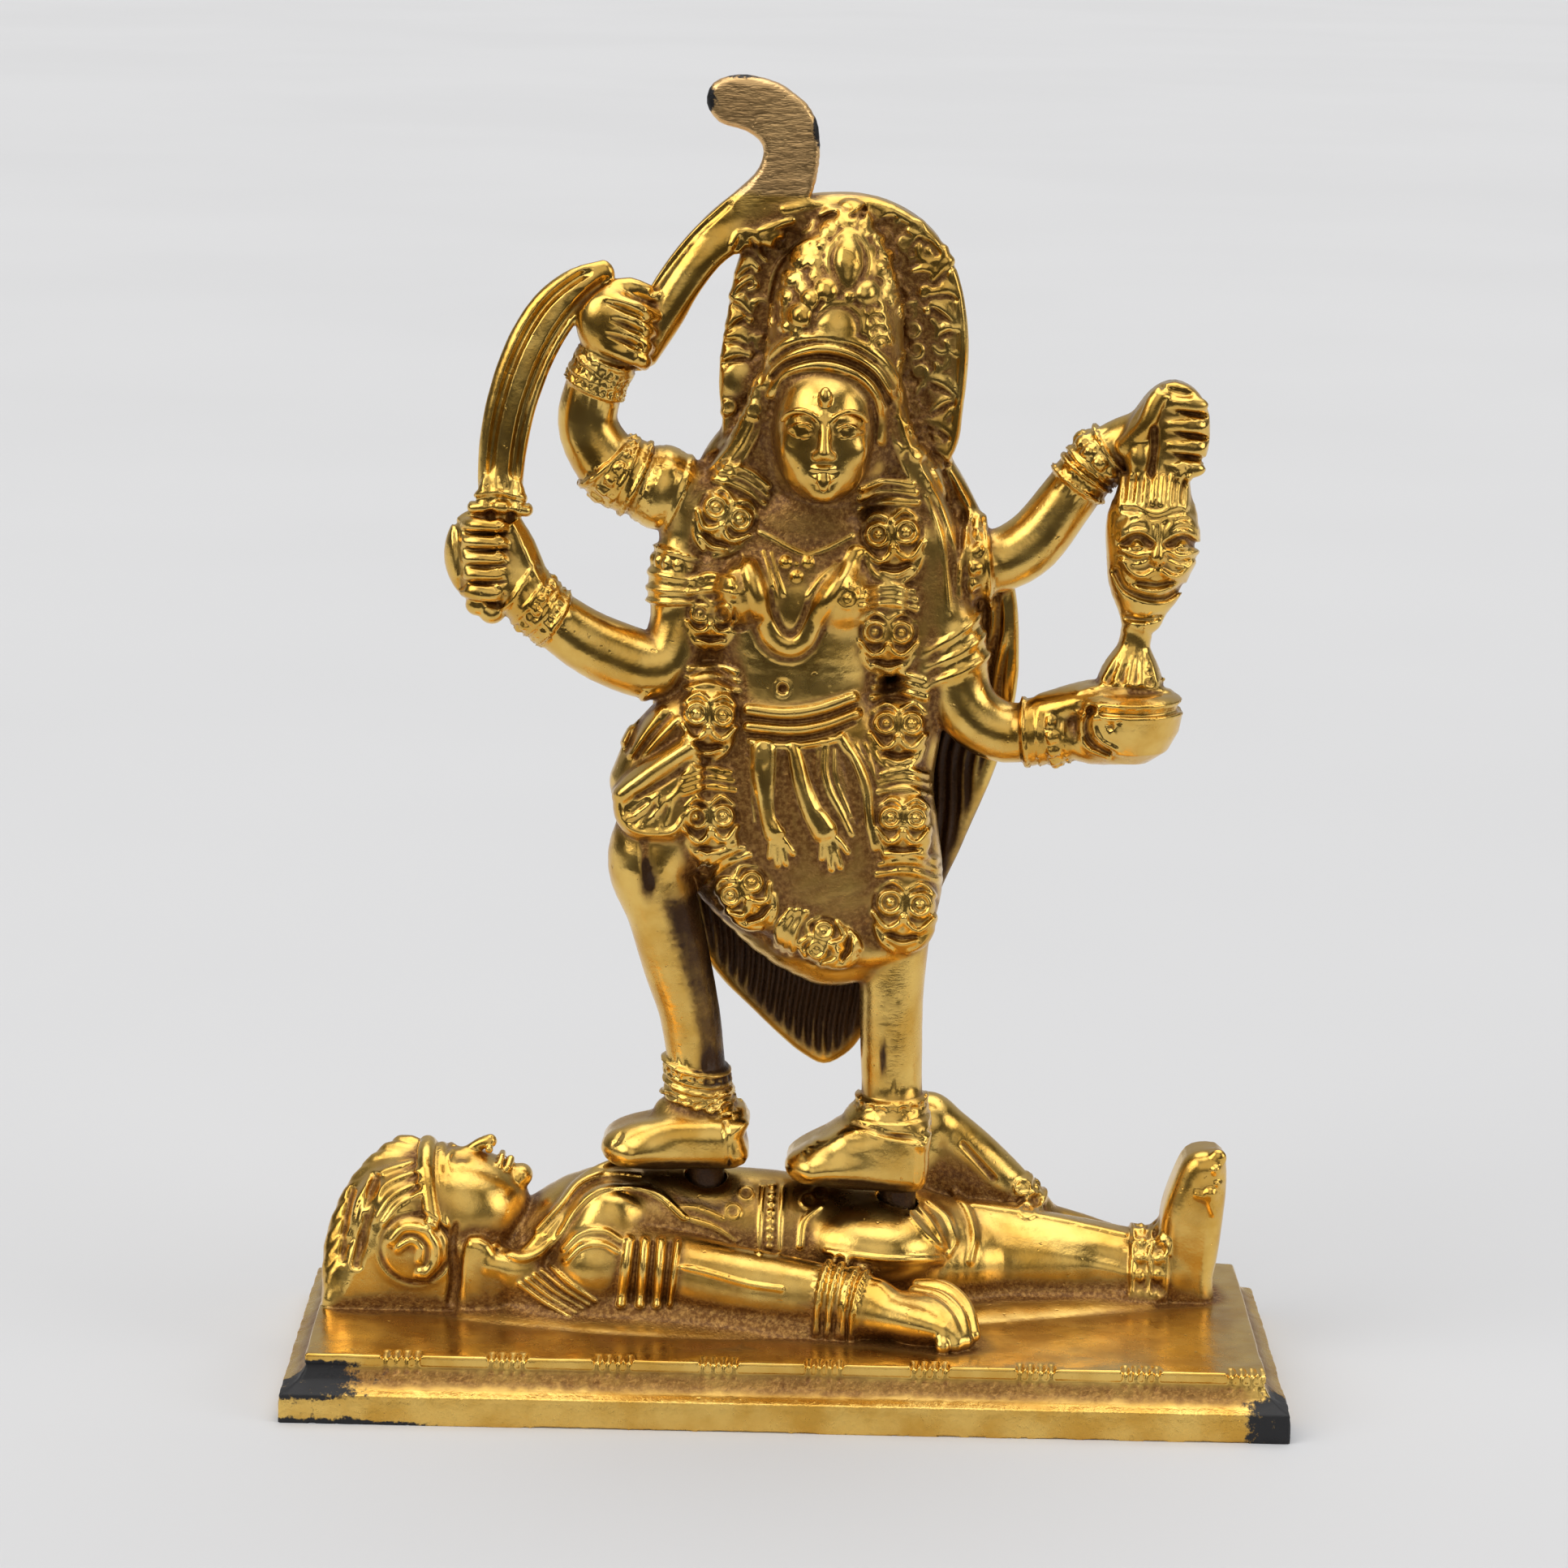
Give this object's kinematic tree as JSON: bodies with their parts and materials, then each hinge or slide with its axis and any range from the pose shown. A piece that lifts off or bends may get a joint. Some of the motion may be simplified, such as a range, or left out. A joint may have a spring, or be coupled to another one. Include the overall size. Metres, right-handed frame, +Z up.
{
  "type": "kali figure",
  "caption": "Cast brass statuette of a standing goddess with raised swords, a halo plate and long hair, on a moulded plinth cast with a lying figure.",
  "frame": {"origin": "centre of the plinth's underside", "axes": "+Z up, +X towards the lying figure's feet, +Y towards the back of the figure"},
  "size_m": [0.125, 0.051, 0.1643],
  "materials": {
    "figure_brass": "polished on the high places, brown patina in the recesses",
    "plinth_brass": "polished plate, cast grain on the sides, black tarnish at two corners"
  },
  "bodies": {
    "root": {"kali": "figure_brass", "base": "plinth_brass"}
  },
  "joints": []
}
